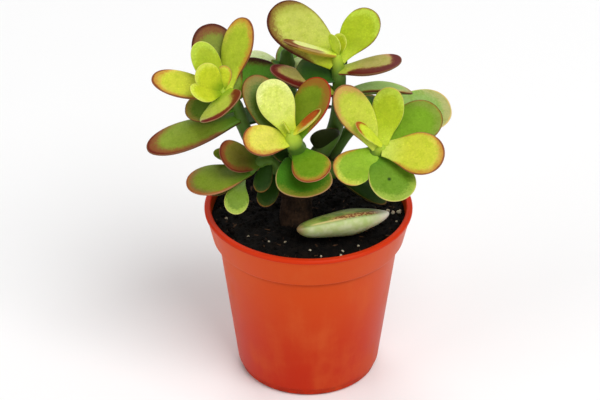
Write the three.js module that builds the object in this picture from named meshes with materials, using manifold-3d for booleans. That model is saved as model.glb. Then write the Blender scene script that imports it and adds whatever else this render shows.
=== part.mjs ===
// A jade plant in a round plastic nursery pot, in millimetres, +Z up.
// The origin is the middle of the pot's underside. Seen from the front, +X is to the right and +Y is away.
import * as THREE from "three";
import { mergeVertices } from "three/addons/utils/BufferGeometryUtils.js";
import Module from "manifold-3d";

const wasm = await Module();
wasm.setup();

// ---- Driving dimensions -------------------------------------------------------------------------

const GAP = 0.3; // what two touching pieces keep between them

const POT_HEIGHT = 94;
const POT_SIDES = 44;
const LIP_RADIUS = 52.5; // a pot sold as 10.5 cm
const LIP_INNER_RADIUS = 49.2;
const LIP_HEIGHT = 2.4;
const COLLAR_HEIGHT = 17.5;
const COLLAR_TOP_RADIUS = 51.7;
const COLLAR_FOOT_RADIUS = 48.6;
const BODY_TOP_RADIUS = 45.6;
const BODY_FOOT_RADIUS = 35.8;
const FOOT_RING_RADIUS = 35.2;
const FOOT_RING_HEIGHT = 4.2;
const WALL = 1.4;
const FLOOR_TOP = 2.9;
const DRAIN_HOLES = 6;
const DRAIN_RADIUS = 2.4;
const DRAIN_CIRCLE = 22;

const SOIL_LEVEL = 90;
const SOIL_BUMP = 0.9;
const SOIL_SIDES = 36;
const SOIL_RINGS = 8;

const TRUNK_RADII = [9.2, 7.4]; // buried end and fork
const TRUNK_BURIED_TO = 62;
const FORK_HEIGHT = 107;
const LIMB_ROOT_RADIUS = 5.4;
const LIMB_GAP = 0.5;

const STEM_SIDES = 8;
const LEAF_SIDES = 8;
const LEAF_STATIONS = [0, 0.17, 0.34, 0.5, 0.67, 0.83, 0.95]; // shares of the length, from foot to tip
const LEAF_WIDEST_AT = 0.62;
const LEAF_NECK = 0.38; // width of a leaf's foot, as a share of its full width
const LEAF_THICKNESS = 0.21; // times the length to the power 0.9: a long leaf is the slimmer one
const LEAF_SUNK = 1; // how far a leaf starts from its stem's middle line
const LEAF_CUP = 0.1; // how far the margins rise, as a share of half the width

// ---- The growth ---------------------------------------------------------------------------------
// A leafy stem is a green shoot: the points it passes from the woody trunk to its tip, its radius at both
// ends, and its leaves. Jade leaves stand in opposite pairs, each pair turned about a quarter from the last,
// and the youngest and smallest stand at the tip. A leaf is
// [share of the way along the stem, azimuth, rise, roll, length, width, bend, spoon]. Azimuth runs from +X
// towards +Y, rise is above the horizon, roll turns the upper face about the leaf's own length and bend is
// how far the leaf curls up from foot to tip, all in degrees. Spoon is 1 for an oval leaf and 2 or more for
// one that stays narrow near its foot.

const STEMS = {
  leafy_stem_top: {
    path: [[3, 4.5, 118], [8.5, 4.5, 126], [12.5, 4, 134], [14.8, 4, 147], [15, 4, 162], [13.8, 4, 177.5]],
    radius: [4.6, 2.9],
    leaves: [
      [0.1, 285, 62, 0, 20, 15, 6, 1.4],
      [0.63, 10, -3, -8, 37, 13, -42, 1.6],
      [0.65, 184, 24, -4, 37.5, 17, 4, 1.6],
      [0.79, 160, 8, -20, 22, 18, 0, 1.5],
      [0.84, 100, -5, 0, 20, 13, 6, 1.6],
      [0.86, 342, 18, 6, 33.5, 17, 4, 1.5],
      [0.92, 148, 28.5, -38, 43, 24, 8, 1.2],
      [1, 187, 20, 16, 28, 15, 8, 1.5],
      [0.94, 42, 40, 28, 31, 18, 6, 2.2],
      [1, 225, 76, 0, 13, 8, 6, 1.5],
      [1, 45, 72, 0, 11, 9, 6, 1.5],
    ],
  },
  leafy_stem_left: {
    path: [[-13, 0, 117], [-25, -2, 127], [-32, -3, 141], [-34, -4, 150], [-37, -5, 157], [-42.5, -5, 162]],
    radius: [4.4, 2.5],
    leaves: [
      [0.6, 60, -6, 0, 24, 16, 4, 1.5],
      [0.68, 195, -14, -15, 49, 19, 6, 1.5],
      [0.8, 174, -8, -32, 26, 16, 0, 1.5],
      [0.98, 268, 0, 36, 23, 25, 8, 1.3],
      [0.84, 119, 44, -12, 42, 23, 8, 1.3],
      [0.96, 67, 52, 0, 39, 16, 6, 2.4],
      [0.94, 172, 11, -22, 38, 16, 6, 1.7],
      [0.98, 143, 54, -30, 28, 14, 8, 1.8],
      [1, 217, 18, -28, 19, 12, 20, 1.6],
      [1, 183, 52, -60, 18, 13, 15, 1.5],
      [1, 75, 62, 10, 13, 8, 15, 1.5],
    ],
  },
  leafy_stem_front: {
    path: [[-6, -6.5, 116], [-5.5, -13, 126], [-5.5, -20, 138], [-7.5, -25, 146], [-8.3, -26, 150]],
    radius: [4.2, 4.3],
    leaves: [
      [0.25, 172, 50, -30, 20, 14, 6, 1.4],
      [0.5, 282, -24, 0, 25, 28, 14, 0.8],
      [0.68, 299, -12, 16, 24, 19, 14, 1.7],
      [0.7, 142, 44, -25, 42, 20, 4, 1.2],
      [0.88, 53, 47, 12, 34, 18, 6, 1.6],
      [0.92, 194, 6, -33, 25, 17, 8, 1.6],
      [0.97, 131, 50, -29, 30, 18, 8, 2.2],
      [1, 13, 40, -12, 19, 11, 6, 1.3],
      [1, 190, 62, 0, 9, 5, 6, 1.5],
    ],
  },
  leafy_stem_right: {
    path: [[7, -2, 113], [20.5, -7, 122.5], [31, -11.5, 130.5], [36.5, -14, 136]],
    radius: [4.4, 2.5],
    leaves: [
      [0.15, 350, -30, 10, 32, 12, 4, 1.4],
      [0.84, 304, -30, 4, 29, 24, 10, 1.6],
      [0.86, 220, -14, -30, 25, 19, 10, 1.4],
      [0.9, 27, 24, 24, 37, 24, 4, 1.3],
      [0.93, 151, 52, -46, 37, 17.5, 6, 1.7],
      [0.96, 345, 0, 40, 32, 22, 8, 2],
      [0.98, 74, 57, 12, 30, 16, 6, 2.4],
      [1, 177, 44, -14, 19, 8, 4, 1.5],
    ],
  },
  leafy_stem_far: {
    path: [[11, 10.5, 115.5], [15.5, 11.5, 123], [21, 12.5, 130], [28, 14, 134], [34, 15, 137]],
    radius: [3.8, 2.4],
    leaves: [
      [0.66, 60, 25, 0, 20, 15, 6, 1.5],
      [0.7, 300, 10, 0, 15, 9, 6, 1.5],
      [0.94, 15, -1, 35, 41, 24, 4, 1.3],
      [1, 150, 25, -20, 14, 10, 6, 1.5],
    ],
  },
  leafy_stem_low: {
    path: [
      [-14.5, -8.5, 116],
      [-16, -9.5, 121.5],
      [-19.5, -11.5, 127],
      [-25, -14.5, 127],
      [-29.5, -17.5, 124],
      [-33, -20, 122],
    ],
    radius: [3.2, 2.3],
    leaves: [
      [0.14, 240, -45, 0, 20, 11.5, 6, 1.5],
      [0.42, 246, -45, 0, 17, 9.5, 6, 1.5],
      [0.95, 200, -16, -16, 20, 11, 6, 1.5],
      [1, 258, -30, -14, 20.5, 12, 8, 2.6],
      [0.8, 200, -6, -9, 33, 21, 6, 1.4],
      [0.58, 170, 7, -30, 24, 8, 6, 1.5],
      [0.6, 205, 26, -34, 24, 18, 10, 1.4],
    ],
  },
  leafy_stem_back: {
    path: [[-7, 8, 116], [-8, 14, 130], [-9.3, 19, 143], [-10.3, 22, 156], [-11, 24, 168]],
    radius: [4.2, 4],
    leaves: [
      [0.5, 10, -10, -30, 22, 20, 6, 1.4],
      [0.77, 171, -8, -40, 31, 20, -30, 1.3],
      [0.72, 80, 15, 0, 30, 19, 4, 1.4],
      [0.88, 20, 0, 0, 24, 14, 6, 1.6],
      [0.86, 190, 25, 0, 9, 6, 6, 1.5],
      [0.7, 130, 8, 0, 32, 15, 4, 1.4],
      [1, 60, 50, 0, 10, 8, 6, 1.5],
    ],
  },
};

// ---- Small helpers ------------------------------------------------------------------------------

const radians = THREE.MathUtils.degToRad;
const { lerp } = THREE.MathUtils;
const vector = ([x, y, z]) => new THREE.Vector3(x, y, z);

// A closed skin over rings of points that run from foot to tip, with one more point closing each end.
function loft(rings, foot, tip) {
  const sides = rings[0].length;
  const points = [...rings.flat(), foot, tip];
  const faces = [];
  for (let ring = 0; ring + 1 < rings.length; ring++) {
    for (let k = 0; k < sides; k++) {
      const a = ring * sides + k;
      const b = ring * sides + ((k + 1) % sides);
      faces.push(a, b, b + sides, a, b + sides, a + sides);
    }
  }
  const last = (rings.length - 1) * sides;
  for (let k = 0; k < sides; k++) {
    const next = (k + 1) % sides;
    faces.push(points.length - 2, next, k);
    faces.push(points.length - 1, last + k, last + next);
  }
  const geometry = new THREE.BufferGeometry().setFromPoints(points);
  geometry.setIndex(faces);
  return geometry;
}

function solidOf(geometry) {
  geometry.deleteAttribute("normal");
  geometry.deleteAttribute("uv");
  const merged = mergeVertices(geometry, 1e-3);
  return new wasm.Manifold(
    new wasm.Mesh({
      numProp: 3,
      vertProperties: merged.attributes.position.array,
      triVerts: new Uint32Array(merged.index.array),
    }),
  );
}

function meshOf(name, solid, color, roughness) {
  const { vertProperties, triVerts } = solid.getMesh();
  const geometry = new THREE.BufferGeometry();
  geometry.setAttribute("position", new THREE.BufferAttribute(vertProperties, 3));
  geometry.setIndex(new THREE.BufferAttribute(triVerts, 1));
  geometry.computeVertexNormals();
  const material = new THREE.MeshStandardMaterial({ color, roughness, metalness: 0 });
  const mesh = new THREE.Mesh(geometry, material);
  mesh.name = name;
  return mesh;
}

const union = (solids) => solids.reduce((all, one) => all.add(one));

// A turned solid from pairs of radius and height.
function turnedGeometry(outline, sides) {
  const profile = outline.map(([radius, height]) => new THREE.Vector2(radius, height));
  return new THREE.LatheGeometry(profile, sides).rotateX(Math.PI / 2);
}

// ---- Stems and leaves ---------------------------------------------------------------------------

// A round stem along a path, from one radius to the other. Dome is the height of its rounded tip, as a share
// of the radius there.
function stemSolid(path, [footRadius, tipRadius], steps = 6, dome = 0.7) {
  const curve = new THREE.CatmullRomCurve3(path);
  const { tangents, normals, binormals } = curve.computeFrenetFrames(steps, false);
  const rings = [];
  for (let i = 0; i <= steps; i++) {
    const middle = curve.getPointAt(i / steps);
    const radius = lerp(footRadius, tipRadius, i / steps);
    const ring = [];
    for (let k = 0; k < STEM_SIDES; k++) {
      const turn = (k / STEM_SIDES) * 2 * Math.PI;
      const point = middle.clone();
      point.addScaledVector(normals[i], radius * Math.cos(turn));
      point.addScaledVector(binormals[i], radius * Math.sin(turn));
      ring.push(point);
    }
    rings.push(ring);
  }
  const tip = curve.getPointAt(1).addScaledVector(tangents[steps], tipRadius * dome);
  return solidOf(loft(rings, curve.getPointAt(0), tip));
}

// Half the width of a leaf of width 2, from a narrow foot to a round tip.
function leafOutline(s, spoon, neck) {
  if (s > LEAF_WIDEST_AT) {
    const past = (s - LEAF_WIDEST_AT) / (1 - LEAF_WIDEST_AT);
    return (1 - past ** 2.2) ** (1 / 2.1);
  }
  const widening = Math.sin((Math.PI / 2) * (s / LEAF_WIDEST_AT));
  return lerp(neck, 1, widening ** spoon);
}

// How fleshy a leaf is along its length, as a share of its greatest thickness.
function leafFlesh(s, footShare) {
  const belly = Math.sin(Math.PI * Math.min(1, 1.1 * s));
  return lerp(footShare, 1, belly) * Math.sqrt(1 - s ** 6);
}

// A fleshy leaf: lens-shaped across, flatter above than below, with margins a little raised.
function leafSolid(foot, leaf, { sunk = LEAF_SUNK, neck = LEAF_NECK, footShare = 0.72, fatness = 1 } = {}) {
  const [, azimuth, rise, roll, length, width, bend, spoon] = leaf;
  const turn = radians(azimuth);
  const up = radians(rise);
  const along = vector([Math.cos(turn) * Math.cos(up), Math.sin(turn) * Math.cos(up), Math.sin(up)]);
  const face = vector([-Math.cos(turn) * Math.sin(up), -Math.sin(turn) * Math.sin(up), Math.cos(up)]);
  face.applyAxisAngle(along, radians(roll));
  const side = new THREE.Vector3().crossVectors(along, face);
  const thickness = LEAF_THICKNESS * length ** 0.9 * fatness;
  const sag = length * Math.tan(radians(bend) / 2);
  const midrib = (s) =>
    foot.clone().addScaledVector(along, s * length).addScaledVector(face, -sag * s * (1 - s));
  const start = sunk / length;
  const rings = LEAF_STATIONS.map((station) => {
    const s = Math.max(station, start);
    const halfWidth = (width / 2) * leafOutline(s, spoon, neck);
    const halfThickness = (thickness / 2) * leafFlesh(s, footShare);
    const ring = [];
    for (let k = 0; k < LEAF_SIDES; k++) {
      const turned = (k / LEAF_SIDES) * 2 * Math.PI;
      const above = Math.sin(turned) < 0 ? 0.7 : 1;
      const height = -above * halfThickness * Math.sin(turned) + LEAF_CUP * halfWidth * Math.cos(turned) ** 2;
      const point = midrib(s).addScaledVector(side, halfWidth * Math.cos(turned));
      ring.push(point.addScaledVector(face, height));
    }
    return ring;
  });
  return solidOf(loft(rings, midrib(start), midrib(1)));
}

function leafyStemSolid({ path, radius, leaves }) {
  const points = path.map(vector);
  const curve = new THREE.CatmullRomCurve3(points);
  const grown = leaves.map((leaf) => leafSolid(curve.getPointAt(leaf[0]), leaf));
  return union([stemSolid(points, radius), ...grown]);
}

// ---- The pot ------------------------------------------------------------------------------------

const COLLAR_FOOT = POT_HEIGHT - COLLAR_HEIGHT;
const LIP_FOOT = POT_HEIGHT - LIP_HEIGHT;
const bodyRadius = (height) => lerp(BODY_FOOT_RADIUS, BODY_TOP_RADIUS, height / COLLAR_FOOT);

function drainHole(turn) {
  const hole = new THREE.CylinderGeometry(DRAIN_RADIUS, DRAIN_RADIUS, 4 * FLOOR_TOP, 12);
  hole.rotateX(Math.PI / 2);
  hole.translate(DRAIN_CIRCLE * Math.cos(turn), DRAIN_CIRCLE * Math.sin(turn), 0);
  return solidOf(hole);
}

// Up the outside from the middle of the underside, over the lip and down the inside.
function potSolid() {
  const outline = [
    [0, 0],
    [11, 0],
    [12.5, 1.1],
    [29, 1.1],
    [30.5, 0],
    [FOOT_RING_RADIUS - 1.4, 0],
    [FOOT_RING_RADIUS - 0.3, 0.9],
    [FOOT_RING_RADIUS, FOOT_RING_HEIGHT],
    [bodyRadius(4.8), FOOT_RING_HEIGHT + 0.6],
    [BODY_TOP_RADIUS, COLLAR_FOOT - 0.6],
    [BODY_TOP_RADIUS + 1, COLLAR_FOOT],
    [COLLAR_FOOT_RADIUS - 0.6, COLLAR_FOOT + 0.4],
    [COLLAR_FOOT_RADIUS, COLLAR_FOOT + 1.4],
    [COLLAR_TOP_RADIUS, LIP_FOOT],
    [LIP_RADIUS, LIP_FOOT + 0.6],
    [LIP_RADIUS, POT_HEIGHT - 0.7],
    [LIP_RADIUS - 0.7, POT_HEIGHT],
    [LIP_INNER_RADIUS + 0.6, POT_HEIGHT],
    [LIP_INNER_RADIUS, POT_HEIGHT - 0.7],
    [LIP_INNER_RADIUS, LIP_FOOT + 0.6],
    [COLLAR_TOP_RADIUS - WALL, LIP_FOOT - 0.2],
    [COLLAR_FOOT_RADIUS - WALL, COLLAR_FOOT + 2.4],
    [BODY_TOP_RADIUS - WALL, COLLAR_FOOT + 0.4],
    [bodyRadius(4) - WALL, FLOOR_TOP + 1.1],
    [bodyRadius(4) - WALL - 1.2, FLOOR_TOP],
    [0, FLOOR_TOP],
  ];
  let pot = solidOf(turnedGeometry(outline, POT_SIDES));
  for (let k = 0; k < DRAIN_HOLES; k++) pot = pot.subtract(drainHole((k / DRAIN_HOLES) * 2 * Math.PI));
  return pot;
}

// ---- The soil and the trunk ---------------------------------------------------------------------

const FORK = vector([-5.5, -2, FORK_HEIGHT]);
const trunkPath = (bottom) => [vector([-6.3, -8, bottom]), vector([-6.3, -8, SOIL_LEVEL]), FORK];

// The uneven top of the soil, a little lower towards the wall.
function soilHeight(x, y) {
  const lumps = Math.sin(0.21 * x + 1) * Math.cos(0.17 * y) + 0.5 * Math.sin(0.5 * x - 0.43 * y);
  return SOIL_LEVEL + SOIL_BUMP * lumps - 0.0008 * (x * x + y * y);
}

function soilSolid() {
  const edge = LIP_INNER_RADIUS - 0.4;
  const outline = [
    [0, FLOOR_TOP + GAP],
    [bodyRadius(4) - WALL - 1.6 - GAP, FLOOR_TOP + GAP],
    [bodyRadius(4) - WALL - 0.1 - GAP, FLOOR_TOP + 1.7],
    [BODY_TOP_RADIUS - WALL - 0.1 - GAP, COLLAR_FOOT + 0.6],
    [COLLAR_FOOT_RADIUS - WALL - 0.1 - GAP, COLLAR_FOOT + 2.7],
    [edge, SOIL_LEVEL],
  ];
  for (let ring = SOIL_RINGS - 1; ring >= 0; ring--) outline.push([(edge * ring) / SOIL_RINGS, SOIL_LEVEL]);
  const geometry = turnedGeometry(outline, SOIL_SIDES);
  const at = geometry.getAttribute("position");
  for (let i = 0; i < at.count; i++) {
    const onTop = Math.abs(at.getZ(i) - SOIL_LEVEL) < 1e-3;
    if (onTop) at.setZ(i, soilHeight(at.getX(i), at.getY(i)));
  }
  const hole = stemSolid(trunkPath(TRUNK_BURIED_TO - GAP), TRUNK_RADII.map((radius) => radius + GAP));
  return solidOf(geometry).subtract(hole);
}

// A limb leaves the trunk for each leafy stem and ends square, just short of it.
function limbSolid({ path, radius }) {
  const along = new THREE.CatmullRomCurve3(path.map(vector)).getTangentAt(0);
  const before = (distance) => vector(path[0]).addScaledVector(along, -distance);
  const root = vector([FORK.x, FORK.y, FORK.z - 6]);
  return stemSolid([root, before(7), before(3), before(LIMB_GAP)], [LIMB_ROOT_RADIUS, radius[0]], 5, 0);
}

const trunkSolid = () =>
  union([stemSolid(trunkPath(TRUNK_BURIED_TO), TRUNK_RADII), ...Object.values(STEMS).map(limbSolid)]);

// ---- The fallen leaf ----------------------------------------------------------------------------

// It lies on its belly on the soil in front of the trunk, with its near margin raised.
const FALLEN_FOOT = vector([-5.8, -31, 98.5]);
const FALLEN_LEAF = [0, 19, 0, -28, 48, 26, 0, 1.1];
const fallenLeafSolid = () =>
  leafSolid(FALLEN_FOOT, FALLEN_LEAF, { sunk: 0, neck: 0.14, footShare: 0.35, fatness: 2.1 });

// ---- The whole ----------------------------------------------------------------------------------

const plant = new THREE.Group();
plant.add(meshOf("pot", potSolid(), 0xc8431f, 0.45));
plant.add(meshOf("soil", soilSolid(), 0x1a1410, 0.95));
plant.add(meshOf("trunk", trunkSolid(), 0x5a4630, 0.85));
plant.add(meshOf("fallen_leaf", fallenLeafSolid(), 0xa9bf7c, 0.45));
for (const [name, stem] of Object.entries(STEMS)) {
  plant.add(meshOf(name, leafyStemSolid(stem), 0x9dbb2e, 0.4));
}

export default plant;
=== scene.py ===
# %% [markdown]
# # A jade plant in a plastic pot
# The object is a young jade plant: a woody trunk that forks into green stems, each with fleshy leaves in
# crossed pairs. It grows in black potting soil in a round terracotta-coloured plastic pot, and one leaf has
# fallen on the soil. A solid model of it is already packed in metres, with the origin in the middle of the
# pot's underside, +Z up and -Y towards the viewer. This lesson gives each solid its fine shape and finish.

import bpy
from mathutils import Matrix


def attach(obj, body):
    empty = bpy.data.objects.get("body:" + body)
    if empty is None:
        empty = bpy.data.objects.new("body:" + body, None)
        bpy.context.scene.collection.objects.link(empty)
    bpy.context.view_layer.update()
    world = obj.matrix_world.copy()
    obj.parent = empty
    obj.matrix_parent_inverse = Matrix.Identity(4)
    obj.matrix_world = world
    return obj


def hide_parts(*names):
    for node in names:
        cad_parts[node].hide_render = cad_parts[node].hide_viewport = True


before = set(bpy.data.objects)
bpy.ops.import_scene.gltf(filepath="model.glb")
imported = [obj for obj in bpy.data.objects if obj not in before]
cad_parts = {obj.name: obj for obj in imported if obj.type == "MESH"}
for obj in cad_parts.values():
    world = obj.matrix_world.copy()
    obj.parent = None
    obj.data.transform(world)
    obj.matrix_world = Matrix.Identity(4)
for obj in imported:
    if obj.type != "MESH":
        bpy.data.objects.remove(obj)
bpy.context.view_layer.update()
print("solids:", sorted(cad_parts))

# %% The modules and the unit
import math
import random
from functools import partialmethod

import bmesh
import bpy
from mathutils import Matrix, Vector, noise
from mathutils.bvhtree import BVHTree

MM = 0.001
TAU = 2 * math.pi

# %% [markdown]
# ## The camera, the light and the floor
# The photo looks down on the pot from about 32 degrees above the horizon, from far enough away that the rim
# and the foot are nearly the same shape of ellipse. A long lens on a distant camera gives that. The light is
# soft and comes from all round, as in a light tent, with more of it from above and the front right.

# %% Camera
AIM = Vector((-4.27, 0, 96.4)) * MM
CAMERA_HEIGHT_ANGLE = math.radians(32.2)
CAMERA_DISTANCE = 1312.5 * MM
LENS = 156.4  # millimetres
SENSOR_WIDTH = 36  # millimetres


def aimed(made, place, target):
    made.location = place
    made.rotation_euler = (target - place).to_track_quat("-Z", "Y").to_euler()
    bpy.context.scene.collection.objects.link(made)
    return made


camera_data = bpy.data.cameras.new("camera")
camera_data.lens = LENS
camera_data.sensor_width = SENSOR_WIDTH
from_aim = Vector((0, -math.cos(CAMERA_HEIGHT_ANGLE), math.sin(CAMERA_HEIGHT_ANGLE)))
camera = aimed(bpy.data.objects.new("camera", camera_data), AIM + CAMERA_DISTANCE * from_aim, AIM)
bpy.context.scene.camera = camera
print("camera at", [round(x, 3) for x in camera.location])

# %% Softboxes and the light tent
SOFTBOXES = {  # place, side and power
    "key_above_right": ((1.3, -1.7, 3.1), 2.4, 100.0),
    "fill_left": ((-2.8, -1.5, 1.7), 2.0, 22.0),
    "back_above": ((-0.4, 2.4, 2.8), 2.0, 38.0),
}
for name, (place, side, power) in SOFTBOXES.items():
    lamp = bpy.data.lights.new(name, "AREA")
    lamp.shape = "SQUARE"
    lamp.size = side
    lamp.energy = power
    aimed(bpy.data.objects.new(name, lamp), Vector(place), AIM)

TENT_BRIGHTNESS = 0.33
tent = bpy.data.worlds.new("light_tent")
tent.use_nodes = True
tent.node_tree.nodes["Background"].inputs["Color"].default_value = (1, 1, 1, 1)
tent.node_tree.nodes["Background"].inputs["Strength"].default_value = TENT_BRIGHTNESS
bpy.context.scene.world = tent
bpy.context.scene.view_settings.view_transform = "Standard"
print(len(SOFTBOXES), "softboxes in a light tent")

# %% [markdown]
# ## Writing shaders as sums
# A procedural finish is mostly arithmetic on positions and noise. A small class stands for one socket and
# overloads + - * / ** and abs, so that `1 - mask` adds its own Math node. Everything else goes through
# `node`, which takes the node's type, its settings and what is plugged into it.


# %% A socket that can be reckoned with
class Flow:
    """The value of one output socket, on its way to the shader."""

    def __init__(self, finish, socket):
        self.finish = finish
        self.socket = socket

    def math(self, operation, *others):
        inputs = dict(enumerate([self, *others]))
        return self.finish.node("ShaderNodeMath", {"operation": operation}, inputs)

    __add__ = __radd__ = partialmethod(math, "ADD")
    __sub__ = partialmethod(math, "SUBTRACT")
    __mul__ = __rmul__ = partialmethod(math, "MULTIPLY")
    __truediv__ = partialmethod(math, "DIVIDE")
    __pow__ = partialmethod(math, "POWER")
    __abs__ = partialmethod(math, "ABSOLUTE")
    most = partialmethod(math, "MAXIMUM")

    def __rsub__(self, other):
        return self.math("MULTIPLY_ADD", -1, other)

    def ramp(self, low, high):
        """0 below low, 1 above high and a smooth rise between them."""
        inputs = {"Value": self, "From Min": low, "From Max": high}
        return self.finish.node("ShaderNodeMapRange", {"interpolation_type": "SMOOTHSTEP"}, inputs)


class Finish:
    """A material while its nodes are being made."""

    def __init__(self, name, **fixed):
        self.material = bpy.data.materials.new(name)
        self.material.use_nodes = True
        self.tree = self.material.node_tree
        self.shader = self.tree.nodes["Principled BSDF"]
        self.place = self.node("ShaderNodeTexCoord", out="Object")
        for socket, value in fixed.items():
            self.shader.inputs[socket.replace("_", " ")].default_value = value

    def node(self, kind, settings=None, inputs=None, out=0):
        made = self.tree.nodes.new(kind)
        for key, value in (settings or {}).items():
            setattr(made, key, value)
        for key, value in (inputs or {}).items():
            self.plug(made.inputs[key], value)
        return Flow(self, made.outputs[out])

    def plug(self, socket, value):
        if isinstance(value, Flow):
            self.tree.links.new(value.socket, socket)
        else:
            socket.default_value = value

    def mix(self, share, low, high, blend="MIX"):
        """A colour between low and high, or low blended with high in another way."""
        settings = {"data_type": "RGBA", "blend_type": blend}
        return self.node("ShaderNodeMix", settings, {0: share, 6: low, 7: high}, out=2)

    def tinted(self, colour, amount):
        """The colour made brighter or darker by a changing amount."""
        inputs = {0: colour, "Scale": amount}
        return self.node("ShaderNodeVectorMath", {"operation": "SCALE"}, inputs)

    def noise(self, size, detail=3.0, roughness=0.55, place=None):
        """Cloudy noise around 0.5, whose lumps are about `size` metres across."""
        inputs = {"Vector": place or self.place, "Scale": 1 / size, "Detail": detail, "Roughness": roughness}
        return self.node("ShaderNodeTexNoise", None, inputs)

    def cells(self, size, place=None):
        """The distance to the nearest of many scattered points, in cell sizes."""
        return self.node("ShaderNodeTexVoronoi", None, {"Vector": place or self.place, "Scale": 1 / size})

    def stretched(self, x, y, z):
        """Object coordinates pulled by a factor along each axis, for streaks."""
        inputs = {0: self.place, 1: (x, y, z)}
        return self.node("ShaderNodeVectorMath", {"operation": "MULTIPLY"}, inputs)

    def axis(self, index, place=None):
        return self.node("ShaderNodeSeparateXYZ", None, {0: place or self.place}, out=index)

    def attribute(self, name, out="Color"):
        return self.node("ShaderNodeAttribute", {"attribute_name": name}, out=out)

    def wear(self, colour=None, roughness=None, height=None, depth=0.2 * MM, strength=1.0):
        """Plugs the changing colour, roughness and relief into the shader."""
        if colour is not None:
            self.plug(self.shader.inputs["Base Color"], colour)
        if roughness is not None:
            self.plug(self.shader.inputs["Roughness"], roughness)
        if height is not None:
            inputs = {"Height": height, "Distance": depth, "Strength": strength}
            self.plug(self.shader.inputs["Normal"], self.node("ShaderNodeBump", None, inputs))
        return self.material


def paint(red, green, blue):
    """A colour as mixed on a screen, 0 to 255, in the linear numbers that a shader takes."""
    linear = [(c / 255 / 12.92) if c < 11 else ((c / 255 + 0.055) / 1.055) ** 2.4 for c in (red, green, blue)]
    return (*linear, 1.0)


# %% [markdown]
# ## Modelling by hand, in code
# Each piece starts as a primitive and is shaped in edit mode. An operator works on all that is selected, so
# everything is deselected first. Turned pieces, such as the pot, start as a disc whose edge is extruded ring
# by ring up the outside and down the inside.


# %% Helpers for edit mode
def only(made):
    bpy.ops.object.select_all(action="DESELECT")
    made.select_set(True)
    bpy.context.view_layer.objects.active = made
    return made


def added(kind, **settings):
    """A new primitive, the only thing selected."""
    bpy.ops.object.select_all(action="DESELECT")
    getattr(bpy.ops.mesh, f"primitive_{kind}_add")(**settings)
    return bpy.context.object


def copied(name, mesh):
    """A new object with its own copy of a mesh."""
    made = bpy.data.objects.new(name, mesh.copy())
    made.data.name = name
    bpy.context.scene.collection.objects.link(made)
    return made


def extruded(made, rings):
    """Extrudes the selected outline of a disc through rings, each a list of places for its points in turn."""
    only(made)
    bpy.ops.object.mode_set(mode="EDIT")
    for ring in rings:
        bpy.ops.mesh.extrude_region_move()
        shape = bmesh.from_edit_mesh(made.data)
        moved = sorted((v for v in shape.verts if v.select), key=lambda v: v.index)
        for vertex, place in zip(moved, ring):
            vertex.co = place
        bmesh.update_edit_mesh(made.data)
    bpy.ops.mesh.select_all(action="SELECT")
    bpy.ops.mesh.normals_make_consistent(inside=False)
    bpy.ops.object.mode_set(mode="OBJECT")
    return made


def disc(name, sides, radius, height):
    made = added("circle", vertices=sides, radius=radius, fill_type="NGON", location=(0, 0, height))
    made.name = made.data.name = name
    bpy.ops.object.transform_apply()
    return made


def turned(name, outline, sides):
    """A turned piece from pairs of radius and height, with its first and last rings closed flat."""
    (radius, height), *rest = outline
    made = disc(name, sides, radius, height)
    start = [v.co.copy() for v in made.data.vertices]
    rings = [[Vector((p.x * r / radius, p.y * r / radius, h)) for p in start] for r, h in rest]
    return extruded(made, rings)


def applied(made, kind, name="shape", **settings):
    """Adds a modifier with its settings and applies it."""
    modifier = only(made).modifiers.new(name, kind)
    for key, value in settings.items():
        setattr(modifier, key, value)
    bpy.ops.object.modifier_apply(modifier=name)
    return made


def smooth(made, degrees):
    only(made)
    bpy.ops.object.shade_smooth_by_angle(angle=math.radians(degrees))
    return made


def worn(made, material):
    made.data.materials.clear()
    made.data.materials.append(material)
    return made


def marked(made, name, kind, values):
    """Writes values into the points of a piece, for its material to read."""
    layer = made.data.attributes.new(name, kind, "POINT")
    field = {"FLOAT": "value", "FLOAT_VECTOR": "vector", "FLOAT_COLOR": "color"}[kind]
    layer.data.foreach_set(field, values)


def joined(name, pieces):
    """Makes one piece of several, under a new name."""
    only(pieces[0])
    for piece in pieces:
        piece.select_set(True)
    bpy.ops.object.join()
    made = bpy.context.object
    made.name = made.data.name = name
    return made


def count(made):
    made.data.calc_loop_triangles()
    print(f"{made.name}: {len(made.data.loop_triangles)} triangles")
    return made


# %% [markdown]
# ## The floor
# A plain pale surface, large enough that its edges never show. It is a stage, so it isn't part of the object.

# %% Floor
FLOOR_SIDE = 8.0
FLOOR_PAINT = (0.93, 0.93, 0.93)
floor = added("plane", size=FLOOR_SIDE, location=(0, 0, 0))
floor.name = floor.data.name = "floor"
floor_paint = Finish("floor_paint", Roughness=0.9, Specular_IOR_Level=0.2)
mottle = floor_paint.noise(0.2, detail=2.0)
worn(floor, floor_paint.wear(floor_paint.tinted(FLOOR_PAINT, 0.98 + 0.02 * mottle)))

# %% [markdown]
# ## The pot
# The real pot is one thin moulding of coloured plastic: a tapered body, a collar that lets pots nest without
# jamming, a rolled lip, a foot ring and six drain holes. It could be spun from a profile, but extruding a
# disc ring by ring keeps every ring at hand. The drain holes are cut with plugs, and a narrow bevel softens
# the edges, because a moulded edge is never quite sharp and its highlight shows that.

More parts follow.
